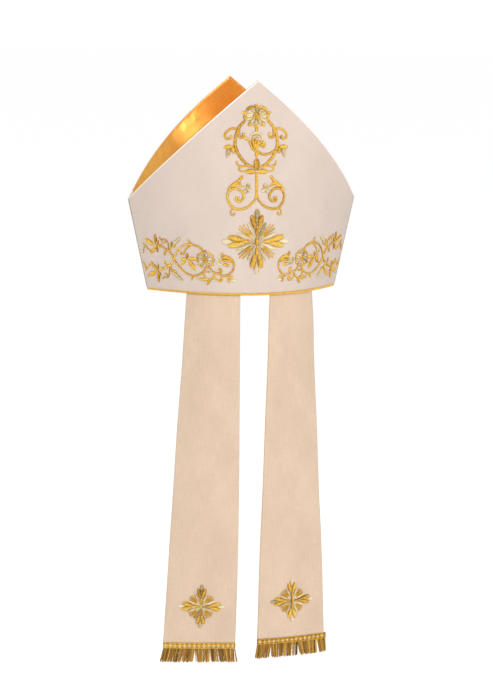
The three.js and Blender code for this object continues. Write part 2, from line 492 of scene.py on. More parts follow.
def curve_through(points):
    """A smooth line through the points, sampled about every stitch, with its length so far."""
    p = np.asarray(points, float)
    if len(p) == 2:
        p = np.array([p[0], (p[0] + p[1]) / 2, p[1]])
    q = np.concatenate([[2 * p[0] - p[1]], p, [2 * p[-1] - p[-2]]])
    t = np.linspace(0, 1, 17)[:-1, None]
    line = []
    for a, b, c, d in zip(q, q[1:], q[2:], q[3:]):
        curved = (2 * a - 5 * b + 4 * c - d) * t**2 + (3 * b - a - 3 * c + d) * t**3
        line.append(0.5 * (2 * b + (c - a) * t + curved))
    line = np.concatenate(line + [p[-1:]])
    run = length_along(line)
    at = np.linspace(0, run[-1], max(int(run[-1] / STITCH_STEP) + 1, 4))
    return np.stack([np.interp(at, run, line[:, k]) for k in range(2)], 1), at


SINK = 0.25  # how far the foot of a stitch lies under the cloth's face
STITCH_SIDES = 9
STOUTNESS = 1.17  # couched threads stand this much wider than the lines that they follow
PADDING = 1.25  # and this much higher


def raised(line, across, lift):
    """Points at a distance to the left of a flat line, and lifted off the cloth."""
    tangent = np.gradient(line, axis=0)
    tangent /= np.linalg.norm(tangent, axis=1)[:, None]
    left = np.stack([-tangent[:, 1], tangent[:, 0]], 1)
    flat = line[:, None, :] + left[:, None, :] * across[..., None]
    return np.concatenate([flat, lift[..., None]], -1)


def stem(relief, points, width, height=1.2, start=0.9, end=0.9):
    """A padded stem of satin stitch. start and end are its widths there, as parts of the full one."""
    width, height = width * STOUTNESS, height * PADDING
    line, run = curve_through(points)
    t = run / run[-1]
    swell = np.minimum(mix(start, 1, smooth(t / 0.25)), mix(end, 1, smooth((1 - t) / 0.3)))
    nose = np.sqrt(np.clip(np.minimum(run, run[-1] - run) / (0.5 * width), 0.02, 1.0))
    size = swell * nose
    angle = np.linspace(-math.pi / 2, math.pi / 2, STITCH_SIDES)
    part = np.sin(angle)[None] + 0 * size[:, None]
    across = 0.5 * width * size[:, None] * part
    lift = height * size[:, None] * np.cos(angle)[None] - SINK
    uv = np.stack([run[:, None] + 0.6 * across, part], -1)
    relief.grid(raised(line, across, lift), uv)


def leaf(relief, base, tip, width, height=1.8, bend=0.0, fullness=1.0, groove=0.0, sharp=0.7, painted_glint=1.5):
    """An almond of satin stitch. bend bows it, as a part of its length. groove is down its middle.

    fullness over 1 moves its widest place towards the tip, and a low sharp makes its ends blunt.
    The last argument is a painted highlight and shade: how much brighter its colour is made where its
    stitches stand upright than where they lie level.
    """
    base, tip = np.asarray(base, float), np.asarray(tip, float)
    length = np.linalg.norm(tip - base)
    side = np.array([-(tip - base)[1], (tip - base)[0]]) / length
    t = 0.5 - 0.5 * np.cos(math.pi * np.linspace(0, 1, max(int(length / STITCH_STEP), 12)))
    middle = (base + tip) / 2 + side * bend * length * 2
    line = (1 - t)[:, None] ** 2 * base + 2 * ((1 - t) * t)[:, None] * middle + t[:, None] ** 2 * tip
    profile = np.maximum(np.maximum(np.sin(math.pi * t**fullness), 0) ** sharp, 0.03)
    part = np.linspace(-1, 1, 11)[None] + 0 * t[:, None]
    across = 0.5 * width * profile[:, None] * part
    dome_shape = np.sqrt(np.clip(1 - part**2, 0, 1)) - groove * np.exp(-((part / 0.2) ** 2))
    lift = PADDING * height * profile[:, None] ** 0.8 * dome_shape - SINK
    uv = np.stack([length * t[:, None] + 0.8 * np.abs(across), part], -1)
    level, upright = ((tip - base) / length) ** 2
    # painted highlight and shade: brighter where the stitches stand upright, darker where they lie level
    relief.grid(raised(line, across, lift), uv, tone=5 + painted_glint * (level - upright))


def dome(relief, centre, radius, height=1.4, tone=5.0):
    """A round padded spot."""
    rings = np.linspace(0, math.pi / 2, 7)
    angle = np.linspace(0, 2 * math.pi, 15)[:-1]
    r = radius * np.maximum(np.sin(rings), 0.02)
    lift = height * np.cos(rings) - SINK
    x = centre[0] + r[:, None] * np.cos(angle)
    z = centre[1] + r[:, None] * np.sin(angle)
    points = np.stack([x, z, lift[:, None] + 0 * x], -1)
    uv = np.stack([x, np.sin(rings)[:, None] + 0 * x], -1)
    relief.grid(points[::-1], uv[::-1], closed_across=True, tone=tone)


# ---- Embroidery ----


class Pen:
    """Draws one motif in gold and silver, mirrored if flip is -1, on an axis that may lean a little."""

    def __init__(self, gold, silver, flip=1, foot=(0.0, 0.0), lean=0.0):
        self.threads = {"gold": gold, "silver": silver}
        self.flip, self.foot, self.lean = flip, foot, lean

    def at(self, point):
        x, z = point
        return (self.flip * x + self.foot[0] - self.lean * (z - self.foot[1]), z)

    def stem(self, points, width, thread="gold", knob=0.0, **sizes):
        line = [self.at(p) for p in points]
        stem(self.threads[thread], line, width, **sizes)
        if knob:
            dome(self.threads[thread], line[-1], knob, 0.9 * knob)

    def leaf(self, base, tip, width, thread="gold", bend=0.0, **sizes):
        leaf(self.threads[thread], self.at(base), self.at(tip), width, bend=bend * self.flip, **sizes)

    def knob(self, centre, radius, thread="gold", **sizes):
        dome(self.threads[thread], self.at(centre), radius, **sizes)


AXIS_FOOT = (-0.2, 64)  # where the embroidery's middle line starts, a little off the panel's own
AXIS_LEAN = 0.0145


def axis_pen(gold, silver, flip=1):
    return Pen(gold, silver, flip, AXIS_FOOT, AXIS_LEAN)


def star(pen, centre, half_width, half_height, ray_rows, ray_width, stout=1.0, painted_glint=1.4):
    """The cross of leaves: four arms, each a pair of gold almonds with a silver tip between. Its leaves
    carry painted highlight and shade by how they lie, as much as the last argument says.
    """
    size = (half_width + half_height) / 2

    def at(along, across, turn):
        """A place in parts of an arm's reach. Turn 0 is the arm that points up, then clockwise."""
        x, z = [(across, along), (along, -across), (-across, -along), (-along, across)][turn]
        return (centre[0] + x * half_width, centre[1] + z * half_height)

    for turn in range(4):
        pen.stem([at(0.36, 0, turn), at(0.72, 0, turn)], 0.04 * size, "silver", height=0.8, end=0.75)
        pen.leaf(at(0.66, 0, turn), at(1, 0, turn), 0.175 * size * stout, "silver", height=2,
            sharp=0.55, fullness=1.2, groove=0.2, painted_glint=painted_glint)
        for sign in (-1, 1):
            pen.leaf(at(0.12, 0.05 * sign, turn), at(0.58, 0.262 * sign, turn), 0.108 * size * stout,
                "silver", height=1.9, fullness=1.35, groove=0.25, sharp=0.45, painted_glint=painted_glint)
            pen.leaf(at(0.34, 0.04 * sign, turn), at(0.815, 0.165 * sign, turn), 0.18 * size * stout,
                height=2.6, bend=0.03 * sign, fullness=1.25, groove=0.2, sharp=0.55, painted_glint=painted_glint)
        for along, across in ray_rows:
            foot = at(0.3 * along, 0.3 * across, turn)
            pen.stem([foot, at(along, across, turn)], ray_width, start=0.8, height=1.1)
        pen.leaf(at(0.04, 0.04, turn), at(0.20, 0.20, turn), 0.13 * size, "silver", groove=0.2)
        pen.leaf(at(0.03, 0, turn), at(0.42, 0, turn), 0.12 * size, height=3.4, fullness=2.3, painted_glint=painted_glint)
    # the middle leaf's painted highlight goes the other way: upright, it is painted brighter
    pen.leaf(at(0.14, 0, 2), at(0.14, 0, 0), 0.11 * size, height=3.9, painted_glint=-1)


CROSS_ABOVE_END = 48

# The fine rays between the arms: how far each reaches along and across, as parts of an arm.
CROWN_RAYS = ((0.40, 0.53), (0.505, 0.505), (0.53, 0.40))
CROSS_RAYS = ((0.33, 0.53), (0.41, 0.51), (0.47, 0.47), (0.51, 0.41), (0.53, 0.33))


def flower(pen, centre, reach, count, petal_width, core, turn):
    """Petals in silver round a core of gold beads. reach and core are (across, up) radii."""
    cx, cz = centre
    for k in range(count):
        angle = turn + 2 * math.pi * k / count
        way = np.array([math.cos(angle), math.sin(angle)])
        base = (cx + way[0] * core[0] * 0.7, cz + way[1] * core[1] * 0.7)
        tip = (cx + way[0] * reach[0], cz + way[1] * reach[1])
        pen.leaf(base, tip, petal_width, "silver", height=2, fullness=1.4, groove=0.18, sharp=0.45)
    pen.knob(centre, 0.85 * core[0], height=1.5)
    for k in range(7):
        angle = 2 * math.pi * k / 7
        spot = (cx + 0.66 * core[0] * math.cos(angle), cz + 0.66 * core[1] * math.sin(angle))
        pen.knob(spot, 0.36 * core[0], height=2.4)
    pen.knob(centre, 0.30 * core[0], height=2.6)


def upper_motif(gold, silver):
    """The flower at the top, in a wreath, over an open ring of scrolls round an acanthus."""
    whole = axis_pen(gold, silver)
    flower(whole, (0, 216.2), (13, 10.8), 12, 4.9, (4.9, 4), turn=-0.07)
    whole.leaf((-0.4, 225.2), (-0.5, 231), 4.8, height=2.2, sharp=0.5)
    whole.leaf((-6, 205), (6, 205), 3.3, bend=-0.06)
    whole.stem([(0, 204), (0, 200.5), (0, 197)], 3.5, start=1.1, end=1.1, height=1.5)
    for flip in (-1, 1):
        pen = axis_pen(gold, silver, flip)
        pen.stem([(2.4, 226.4), (6.2, 226.9), (10.2, 225), (12.9, 221.2)], 3.4, start=0.8, end=0.8,
            height=1.5)
        pen.stem([(13.6, 218), (14.7, 214.9), (13.3, 210.8)], 3.3, start=0.8, height=1.5)
        pen.leaf((11.6, 219), (18.6, 220.9), 3.8, height=2, sharp=0.5)
        pen.leaf((6.2, 209.2), (10.3, 203.8), 5, height=2, sharp=0.5)
        pen.stem([(13.3, 211.2), (17.9, 207), (21.8, 202), (24.6, 195.5), (26.2, 188), (26.3, 182),
            (25, 176), (21.5, 168.9), (16.1, 161.9), (10.1, 157.1), (3, 153.8)], 3.3, end=0.8, height=1.5)
        pen.stem([(21.4, 202), (21.9, 196), (21.6, 192.6), (19.2, 190.2), (16.4, 191.4), (16.2, 194)], 3,
            knob=2.3)
        pen.stem([(23.5, 201), (30.4, 201), (35.6, 197.9), (38.7, 193.5), (37.5, 189.6), (34, 188.4),
            (31.6, 190.6)], 2.6, knob=2.3)
        pen.stem([(26, 184), (27.6, 181.4), (31.2, 178.9)], 2)
        pen.leaf((29.5, 179.2), (41, 177.3), 5.8, bend=0.06, sharp=0.6, groove=0.35)
        pen.leaf((31.6, 180.6), (28, 170.2), 5.2, bend=-0.06, sharp=0.6, groove=0.35)
        pen.leaf((33.2, 178), (36.6, 165), 6, "silver", height=1.6, fullness=0.8, groove=0.35)
        pen.stem([(3.5, 153.4), (8.3, 154.8), (12.5, 156.1), (16.8, 155.7), (21.3, 156.3), (24.6, 158.8),
            (24.2, 161.2)], 2, knob=1.3)
        pen.stem([(16.2, 155.6), (20.6, 154.2), (21.6, 151.6), (18.9, 149.5), (14, 149.7)], 1.9, start=0.8,
            end=0.8)
        pen.leaf((0.4, 149.1), (15.2, 149.9), 7, height=2.1, groove=0.3, bend=-0.02)
    acanthus(whole)
    for x, width in ((-2.9, 3.8), (3.0, 3.6), (0.1, 4.2)):
        tip = (0.55 * x, 166.3 - 0.5 * abs(x))
        whole.leaf((0.5 * x, 150.2), tip, width, height=2.3, bend=-0.012 * x)
    whole.stem([(0, 166), (0, 169), (-0.3, 173.5)], 3.4, end=1, height=1.5)


def acanthus(pen):
    """The half-turned leaf inside the ring: four strands, a curl, and pale bands over its top."""
    pen.stem([(-7.8, 191), (-4.6, 194.7), (0.1, 195.8), (4.7, 194), (7, 190.6), (7, 186.6)], 3.2, "silver",
        height=1.2)
    pen.stem([(-5, 190), (-2.9, 191.4), (0.1, 191.8), (4, 189.6)], 2.8, "silver")
    pen.stem([(4, 187.8), (1.5, 184), (0.3, 180.2), (0.6, 175)], 2.9, start=0.8, end=0.7, height=1.5)
    pen.stem([(0, 189.6), (-1.7, 184.8), (-1.5, 180.2), (0.3, 174.6)], 3.2, end=0.6, height=1.7)
    pen.stem([(-4.4, 190.8), (-4.8, 186.3), (-4.1, 181.3), (-1.9, 176.5), (0.3, 173.2)], 3.3, end=0.6,
        height=1.9)
    pen.stem([(-9.6, 187.6), (-7.8, 183), (-6.3, 179), (-3.8, 175.6), (-0.4, 172.6)], 2.5, height=1.5,
        end=0.75)
    pen.leaf((-8.6, 185.6), (-16.6, 190.3), 4.2, height=1.9, bend=-0.12, sharp=0.5)
    pen.stem([(0.8, 176), (1.9, 180.8), (4.2, 184), (7.6, 184.6), (10, 182), (9, 178.8), (6.6, 178.8)],
        3.1, start=0.7, height=1.8, end=0.75)
    pen.knob((7.2, 181.2), 2.9, height=2.6)
    pen.stem([(-0.8, 174.7), (3.4, 172), (8.1, 170.1), (12.7, 170.1), (17.2, 171.4), (21.3, 173),
        (24.5, 176.4)], 2.7, height=1.4)


def c_scrolls(gold, silver):
    """The pair of big scrolls that spring from the middle stem."""
    whole = axis_pen(gold, silver)
    whole.stem([(0, 148.5), (0, 141), (0, 134), (0, 120)], 2.8, start=1, end=1, height=1.5)
    for flip in (-1, 1):
        pen = axis_pen(gold, silver, flip)
        pen.stem([(0.1, 123.5), (0.6, 119.5), (2.1, 115), (5.9, 110.4), (11.1, 106), (17, 103.9),
            (23.3, 103.4), (28.3, 104.7), (32.7, 109.2), (35.5, 115.2), (35.9, 120.8), (34.1, 124.6),
            (31, 127.5), (26.4, 128.5), (21.7, 127.4), (17.8, 123.7), (16, 119), (17.4, 115.1),
            (20.7, 112.8), (24.3, 113.7), (25.5, 116.6), (23.4, 118.2)], 2.7, end=1, height=1.5)
        pen.knob((22.6, 116.8), 1.9, height=1.6)
        pen.stem([(35.6, 121), (33.5, 128.2), (30, 132.6), (24.6, 136), (19.9, 140.4), (17.2, 144.8)], 3.2,
            start=0.6, end=0.95, height=1.5)
        pen.stem([(31.5, 129.8), (27.8, 131.9), (23.1, 134.3), (18.6, 135.5)], 2.4, start=0.6, height=1.4)
        pen.stem([(30, 130), (26, 131.6), (21.3, 132.2), (16.6, 131.4), (12, 128.8)], 2, start=0.7)
        for tip in ((9.8, 134.6), (15.6, 122.9), (6.2, 124.6)):
            pen.leaf((11.6, 128.3), tip, 5.6, "silver", height=1.9, fullness=1.4, sharp=0.45,
                groove=0.1)
        pen.stem([(28.2, 104.2), (31.2, 101.7), (32.2, 98.7), (30.2, 95.9), (27.6, 96.3), (27.2, 98.4)],
            1.8, knob=1.5)


def leaf_cluster(pen, centre, leaves):
    """Leaves round a point. Each row of leaves is a tip's x and z, then the leaf's width."""
    for x, z, width in leaves:
        near = (mix(centre[0], x, 0.08), mix(centre[1], z, 0.08))
        pen.leaf(near, (x, z), 1.15 * width, bend=0.03, groove=0.45)
    pen.knob(centre, 1.4, height=1.5)


def daisy_branch(pen):
    """The daisy, the stem over it, and the small ring with leaves below it."""
    flower(pen, (-64.2, 40.4), (8.4, 8.2), 11, 3.5, (3.3, 3.2), turn=0.2)

    def around(across, up, degrees):
        angle = math.radians(degrees)
        return (-64.2 + across * math.cos(angle), 40.5 + up * math.sin(angle))

    for turn in range(0, 360, 60):
        pen.stem([around(10.2, 9.8, turn + more) for more in (-21, -7, 7, 21)], 2.5, start=0.8, end=0.8)
        pen.knob(around(10.7, 10.3, turn + 30), 1.7, height=2)
    pen.stem([(-66, 49), (-67.3, 52), (-71.3, 55.6), (-75.8, 57.5), (-80.4, 58.8), (-84.1, 61.2),
        (-85.5, 64)], 2.2, end=0.8, knob=1.3)
    pen.stem([(-80.5, 58.2), (-83.6, 56.8), (-87.1, 54.4), (-90, 51.2), (-91.6, 47.6), (-94.2, 45.7),
        (-96.3, 47), (-96, 48.6)], 1.9, knob=1.3)
    pen.stem([(-59.6, 25.8), (-62.9, 26.3), (-65.8, 24), (-66, 21), (-63.6, 18), (-59.8, 16.4),
        (-56.4, 17.6), (-54, 19.8), (-53.4, 23.6)], 2, start=1)
    pen.knob((-59.8, 25.6), 1.3)
    pen.leaf((-58, 16.6), (-75.6, 17.3), 4, height=1.9, bend=0.05, groove=0.35)
    pen.leaf((-57.6, 16.8), (-62.1, 8.8), 3.8, height=1.9, groove=0.1)
    pen.leaf((-57.4, 14.8), (-50.6, 16), 4, "silver", height=1.5, groove=0.1)


def tulip_scroll(pen):
    """The round scroll that ends in a tulip, with a hook and a sprig below it."""
    pen.stem([(-59, 31.4), (-55.3, 26.6), (-50.2, 24.6), (-44.7, 22.5), (-39.7, 21.6), (-34.8, 23.2),
        (-31, 26.4), (-28.7, 31.2), (-28.7, 36.4), (-30.6, 41.2), (-34.4, 44.3), (-38.9, 46), (-42, 46.6)],
        2.3, height=1.4)
    pen.leaf((-41.6, 44.6), (-44.4, 50.6), 3, height=1.9, sharp=0.5)
    pen.stem([(-45, 43), (-39.9, 44), (-34.4, 43.1), (-30.2, 39.2)], 3, end=0.5, height=1.8)
    pen.stem([(-44.4, 39.1), (-39.9, 40.4), (-35, 40.2), (-30.5, 37.6)], 3, end=0.5, height=1.8)
    pen.leaf((-42, 36.6), (-33.2, 34.4), 4.4, height=2, bend=-0.08, sharp=0.5)
    pen.stem([(-49, 43), (-49, 38.4), (-46, 35.3), (-40.8, 34.4)], 2.6, "silver", height=1.3, end=0.75)
    for x, z in ((-46.4, 44), (-46.8, 40.8), (-46.4, 38)):
        pen.knob((x, z), 1.6, "silver", height=1.3)
    pen.stem([(-50, 24.7), (-46, 25), (-43.7, 27.2), (-45, 29.6), (-47, 29)], 2, knob=1.6)
    pen.stem([(-53, 23), (-50.8, 18.4), (-48.2, 15.5), (-45.2, 14.4), (-42.8, 15.8), (-43, 18), (-45, 18)],
        2.1, knob=1.5)
    pen.stem([(-40.4, 21.6), (-37.2, 20.1), (-35.2, 18.2)], 1.8)
    pen.leaf((-35.4, 18.6), (-28.8, 21.4), 3.2, height=1.7, groove=0.1)
    pen.leaf((-35.6, 18.8), (-33.7, 12.2), 3, height=1.7, groove=0.1)
    pen.leaf((-33.8, 16.4), (-24.8, 15.2), 4.2, "silver", height=1.6, groove=0.1, sharp=0.5)


def leafy_ends(pen):
    """The two branches that cross, and the leaves, buds and tendrils at their outer ends."""
    pen.stem([(-126.5, 53.5), (-122.2, 54.1), (-117.5, 51.5), (-112.1, 48.8), (-108.4, 44.4),
        (-105.4, 39.2), (-100.9, 33.1), (-94.9, 26.8), (-88.2, 22.3), (-81.5, 20.2), (-75.8, 20.4),
        (-71.1, 22.4), (-66.9, 25.6), (-64.8, 30)], 2.2, height=1.3)
    pen.stem([(-127, 24), (-124.4, 24.7), (-119.4, 26.5), (-113.6, 29.6), (-108.6, 33.6), (-105.4, 39.2),
        (-103.7, 44.2), (-100.5, 49.8), (-95.9, 54.4), (-90.7, 57.6), (-85.6, 58.8), (-80, 58)], 2.2,
        height=1.6)
    pen.stem([(-77, 19.9), (-80.6, 17.8), (-81.8, 14.8)], 1.9, knob=1.3)
    leaf_cluster(pen, (-88.4, 41.2), ((-73.8, 40.4, 4.2), (-75.6, 25.6, 5.2), (-96.8, 31.8, 4.2),
        (-96.6, 40, 4.4), (-86.4, 48, 4)))
    leaf_cluster(pen, (-129.8, 54.2), ((-148, 62.9, 5.4), (-131.3, 69.8, 3.8), (-126.4, 62, 3),
        (-139.2, 44.2, 4.2), (-128.6, 45.8, 3), (-121, 56.2, 2.4)))
    leaf_cluster(pen, (-129.2, 23), ((-139.8, 34.2, 4), (-128.5, 32, 3.2), (-146.4, 15.4, 5.2),
        (-128.9, 8.2, 4.2), (-124.8, 16, 3.2)))
    pen.leaf((-126.4, 23.6), (-119.6, 28.6), 2.6, height=1.5, groove=0.35)
    pen.stem([(-112.4, 49.2), (-113.2, 57.4), (-114.9, 61), (-118, 63.2), (-122, 62.6), (-124.7, 64),
        (-125, 66)], 1.6, knob=1.2)
    pen.stem([(-121.8, 62.4), (-122, 59.8), (-119.7, 58.2), (-117.4, 59.8), (-117.8, 61.4)], 1.5, end=0.75)
    pen.stem([(-110.8, 47.8), (-109.9, 52), (-109.7, 56.3), (-108, 60.2)], 1.6, end=0.75)
    pen.leaf((-108.2, 55.2), (-95.2, 67.5), 5, "silver", sharp=0.5, groove=0.25)
    pen.leaf((-109.6, 54), (-108, 61.6), 3, height=1.7)
    pen.leaf((-108.8, 54.4), (-101.6, 56.6), 3, height=1.7)
    pen.stem([(-139, 45.6), (-139.6, 48), (-142.9, 50), (-146.4, 53.8), (-150.4, 56.7)], 1.7)
    pen.stem([(-146.4, 53.8), (-149.3, 49.6), (-149.4, 45.6), (-151.2, 44.2)], 1.6)
    pen.stem([(-112, 49.2), (-116.6, 48.3), (-119.4, 46.6), (-118.4, 44.6)], 1.6, knob=1.7)
    pen.stem([(-110, 32.4), (-115, 31.1), (-118.6, 32.8), (-118.4, 35.4)], 1.6, knob=1.7)
    pen.stem([(-111.4, 31.4), (-112.5, 22), (-114, 17), (-117.4, 15.3), (-120.6, 15.6), (-122.6, 14)], 1.6,
        knob=1.2)
    pen.stem([(-117.4, 15.3), (-115.8, 18.4), (-118, 20.4), (-120.3, 18.9)], 1.5, end=0.75)
    pen.stem([(-110.4, 32.6), (-109.8, 27), (-107.6, 22.6)], 1.7, end=0.75)
    pen.leaf((-108.6, 23.6), (-93.2, 12.7), 5, "silver", sharp=0.5, groove=0.25)
    pen.leaf((-109, 26), (-101, 22.6), 3, height=1.7)
    pen.leaf((-109.4, 25.6), (-106, 20), 2.6, height=1.7)
    pen.stem([(-139.8, 31.6), (-141.8, 29.4), (-145.1, 24.8), (-148.1, 26.4), (-149.5, 30.3),
        (-151.8, 33.8)], 1.6)
    pen.stem([(-145.1, 24.8), (-149.2, 21.8)], 1.6)


def panel_embroidery(side, name):
    """All of one panel's gold and silver stitching, as two pieces."""
    gold, silver = Relief(), Relief()
    upper_motif(gold, silver)
    c_scrolls(gold, silver)
    star(Pen(gold, silver), (-0.2, 63.6), 43.9, 40.4, CROWN_RAYS, ray_width=1.7)
    for flip in (1, -1):
        pen = Pen(gold, silver, flip, (0.5, 0.0))
        daisy_branch(pen)
        tulip_scroll(pen)
        leafy_ends(pen)
    place = on_panel(side)
    return [
        gold.piece(f"gold_embroidery_{name}", place, GOLD, "gold_thread"),
        silver.piece(f"silver_embroidery_{name}", place, SILVER, "silver_thread"),
    ]


def lappet_cross(name):
    """The cross near a lappet's end. The light catches the two crosses' leaves differently."""
    gold, silver = Relief(), Relief()
    # painted highlight and shade on the cross's leaves by how they lie, the other way round on the right
    painted_glint = 1.8 if name == "left" else -1.0
    centre = (0.4, CROSS_ABOVE_END - LAPPET_LENGTH)
    star(Pen(gold, silver), centre, 29.5, 28.5, CROSS_RAYS, 1.0, stout=1.02, painted_glint=painted_glint)
    place = on_lappet(name)
    return [
        gold.piece(f"gold_cross_{name}", place, GOLD, "gold_thread"),
        silver.piece(f"silver_cross_{name}", place, SILVER, "silver_thread"),
    ]


# ---- Cloth ----


EDGE_HIGHLIGHT_STRIP = 1.25  # how far down the slanted edge's strip of painted highlight reaches
PANEL_COLUMNS = 181


def fanned_grid(columns, rows):
    """Cloth points in columns that fan out from the rim and end on the slanted edge."""
    across = np.linspace(-1, 1, columns)[None]
    v = np.linspace(0, 1, rows - 1)[:, None]
    top = edge_height(across * CORNER_HALF_WIDTH)
    z = np.concatenate([v * (top - EDGE_HIGHLIGHT_STRIP), top])
    x = across * np.where(z < CORNER_HEIGHT, crease_x(z), CORNER_HALF_WIDTH)
    return x, z


def panel(side, name):
    """A horn's stiffened cloth, closed, with a rounded slanted edge whose top strip is painted near-white
    as a highlight.
    """
    x, z = fanned_grid(PANEL_COLUMNS, 131)
    outer = panel_point(x, z, 0, side)
    inner = panel_point(x, z, -PANEL_THICKNESS, side)
    for face in (outer, inner):
        face[..., 1] = side * np.maximum(side * face[..., 1], SEAM_GAP / 2)
    uv = np.stack([arc_at_x(x, z), z], -1)

    def round_edge(i, j):
        return 0.0 if j in (0, PANEL_COLUMNS - 1) else 0.45

    points, faces, uvs = shell(outer, inner, round_edge, uv)
    piece = new_piece(f"cloth_{name}", points, faces, uvs, CLOTH, [f"{name}_panel"])
    middles = points[np.array(faces)].mean(axis=1)
    # the faces of the edge's top strip take the painted highlight
    on_edge_highlight = middles[:, 2] > edge_height(middles[:, 0]) - 0.99 * EDGE_HIGHLIGHT_STRIP
    piece.data.materials.append(EDGE_HIGHLIGHT)
    piece.data.polygons.foreach_set("material_index", on_edge_highlight.astype(np.int32))
    return piece


def gusset():
    """Satin down one horn, across the fold and up the other, puckered along its stitched hem."""
    columns, rows = 181, 201
    across = np.linspace(-1, 1, columns)[None]
    turn = np.linspace(-1, 1, rows)[:, None]
    angle = math.pi / 2 * np.sign(turn) * np.sin(math.pi / 2 * turn) ** 2
    x = across * SATIN_HALF_WIDTH
    top = edge_height(x) - SATIN_BELOW_EDGE
    saddle = mix(SADDLE_MIDDLE, SADDLE_END, np.abs(across) ** 3)
    out = np.abs(np.sin(angle)) ** (2 / SADDLE_SQUARENESS) * np.sign(angle)
    down = np.clip(np.cos(angle), 0, 1) ** (2 / SADDLE_SQUARENESS)
    level = mix(top, saddle, down)
    from_hem = top - level
    room = np.clip((1 - np.abs(across)) * 6, 0, 1)
    below_tip = smooth((PEAK_HEIGHT - level) / 70)
    pucker = 0.25 * np.exp(-from_hem / 9) * (1 + np.sin(x / 1.9 + 2.5 * np.sin(x / 17) + 0.05 * level))
    pucker *= smooth(from_hem / 3) * below_tip
    along_edge = 0.44 * np.abs(x) + 0.9 * level
    drape = 0.30 * (1 + np.sin(along_edge / 6.5 + 1.3 * np.sin(x / 23)))
    drape += 0.10 * (1 + np.sin(along_edge / 2.8 + 2.0 * np.sin(x / 15)))
    drape *= smooth(from_hem / 22) * room * below_tip
    fold = 2.2 * np.exp(-((out * 6) ** 2)) * smooth(from_hem / 25) * room
    swell = pucker * room + drape
    curled = curl(level)
    slope = 2 * curled * x

    def face(lift):
        inset = PANEL_THICKNESS + SEAM_GAP + lift
        depth = BOW - curled * x * x - inset * np.sqrt(1 + slope**2)
        z = level + lift * down + fold
        return np.stack([x + 0 * out, out * depth, z], -1)

    upper, under = face(SATIN_THICKNESS + swell), face(0 * swell)
    along = np.cumsum(np.linalg.norm(np.diff(upper, axis=0, prepend=upper[:1]), axis=-1), axis=0)
    uv = np.stack([x + 0 * along, along], -1)
    points, faces, uvs = shell(upper, under, lambda i, j: 0.6, uv)
    return new_piece("satin_fold", points, faces, uvs, SATIN, ["satin_gusset"])


def lappet(name):
    """A lappet's woven face and the satin that lines its back."""
    level = np.linspace(LAPPET_TUCK, -LAPPET_LENGTH, 230)[:, None]
    across = np.linspace(-1, 1, 61)[None]
    z = level + 0 * across
    s = across + 0 * level
    half = lappet_half_width(z)
    uv = np.stack([s * half, z], -1)
    face = [lappet_point(name, s, z, lift) for lift in (1.0, -0.35)]
    points, faces, uvs = shell(*face, lambda i, j: 0.35, uv)
    cloth = new_piece(f"lappet_cloth_{name}", points, faces, uvs, LAPPET_CLOTH,
                      [f"lappet_{name}"])
    back = [lappet_point(name, s * 1.006, z, lift) for lift in (-0.4, -1.0)]
    points, faces, uvs = shell(*back, lambda i, j: 0.15, uv)
    lining = new_piece(f"lappet_lining_{name}", points, faces, uvs, SATIN)
    return cloth, lining


# ---- Cord, braid and fringe ----


COIL_PITCH = 2.4


def tube(relief, line, radius, sides, side_way, up_way, coil=0.0, close_ends=True):
    """A round strand along a line. side_way and up_way span its section at each point.

    coil is how much its radius swells at each turn of the wire, as a part of the radius.
    """
    run = length_along(line)
    angle = np.linspace(0, 2 * math.pi, sides, endpoint=False)
    r = np.full(len(line), radius)
    if coil:
        r = r * (1 + coil * np.sin(2 * math.pi * run / COIL_PITCH))
    if close_ends:
        r[0] *= 0.15
        r[-1] *= 0.15
    ring_points = side_way[:, None, :] * np.cos(angle)[None, :, None]
    ring_points = ring_points + up_way[:, None, :] * np.sin(angle)[None, :, None]
    points = line[:, None, :] + r[:, None, None] * ring_points
    uv = np.stack([run[:, None] + 0 * angle, radius * angle[None] + 0 * run[:, None]], -1)
    relief.grid(points, uv, closed_across=True)


def rim_line(count):
    """The rim's mid line, with a round bend at each side crease."""
    turn = np.linspace(0, 2 * math.pi, count)
    c, s = np.cos(turn), np.sin(turn)
    x = RIM_HALF_WIDTH * c
    k = curl(np.zeros(1))[0]
    depth = BOW - k * x * x - PANEL_THICKNESS / 2 * np.sqrt(1 + (2 * k * x) ** 2)
    y = np.sign(s) * np.hypot(np.maximum(depth, 0), CORD_CORNER_RADIUS * s)
    x = x - np.sign(c) * CORD_CORNER_RADIUS * 0.35 * np.abs(c) ** 40
    line = np.stack([x, y, np.full(count, -CORD_RADIUS)], 1)
    run = length_along(line)
    at = np.linspace(0, run[-1], count)
    return np.stack([np.interp(at, run, line[:, k]) for k in range(3)], 1), at


CORD_LAY = 6.4  # how far along the cord a ply goes once round it
PLY_OFFSET = 0.86
PLY_RADIUS = 1.04


def rim_cord():
    """Two plies twisted round each other, all round the rim."""
    line, run = rim_line(1101)
    tangent = np.roll(line, -1, 0) - np.roll(line, 1, 0)
    tangent[0] = tangent[-1] = line[1] - line[-2]
    tangent /= np.linalg.norm(tangent, axis=1)[:, None]
    up = np.array([0.0, 0.0, 1.0]) + 0 * tangent
    aside = np.cross(tangent, up)
    turns = round(run[-1] / CORD_LAY)
    plies = Relief()
    for phase in (0, math.pi):
        angle = 2 * math.pi * turns * run / run[-1] + phase
        ply = line + PLY_OFFSET * (aside * np.cos(angle)[:, None] + up * np.sin(angle)[:, None])
        tube(plies, ply, PLY_RADIUS, 7, aside, up, close_ends=False)
    return plies.piece("twisted_rim_cord", lambda p: p, CORD, "gold_thread", ["rim_cord"])


BRAID_LOOPS = 15


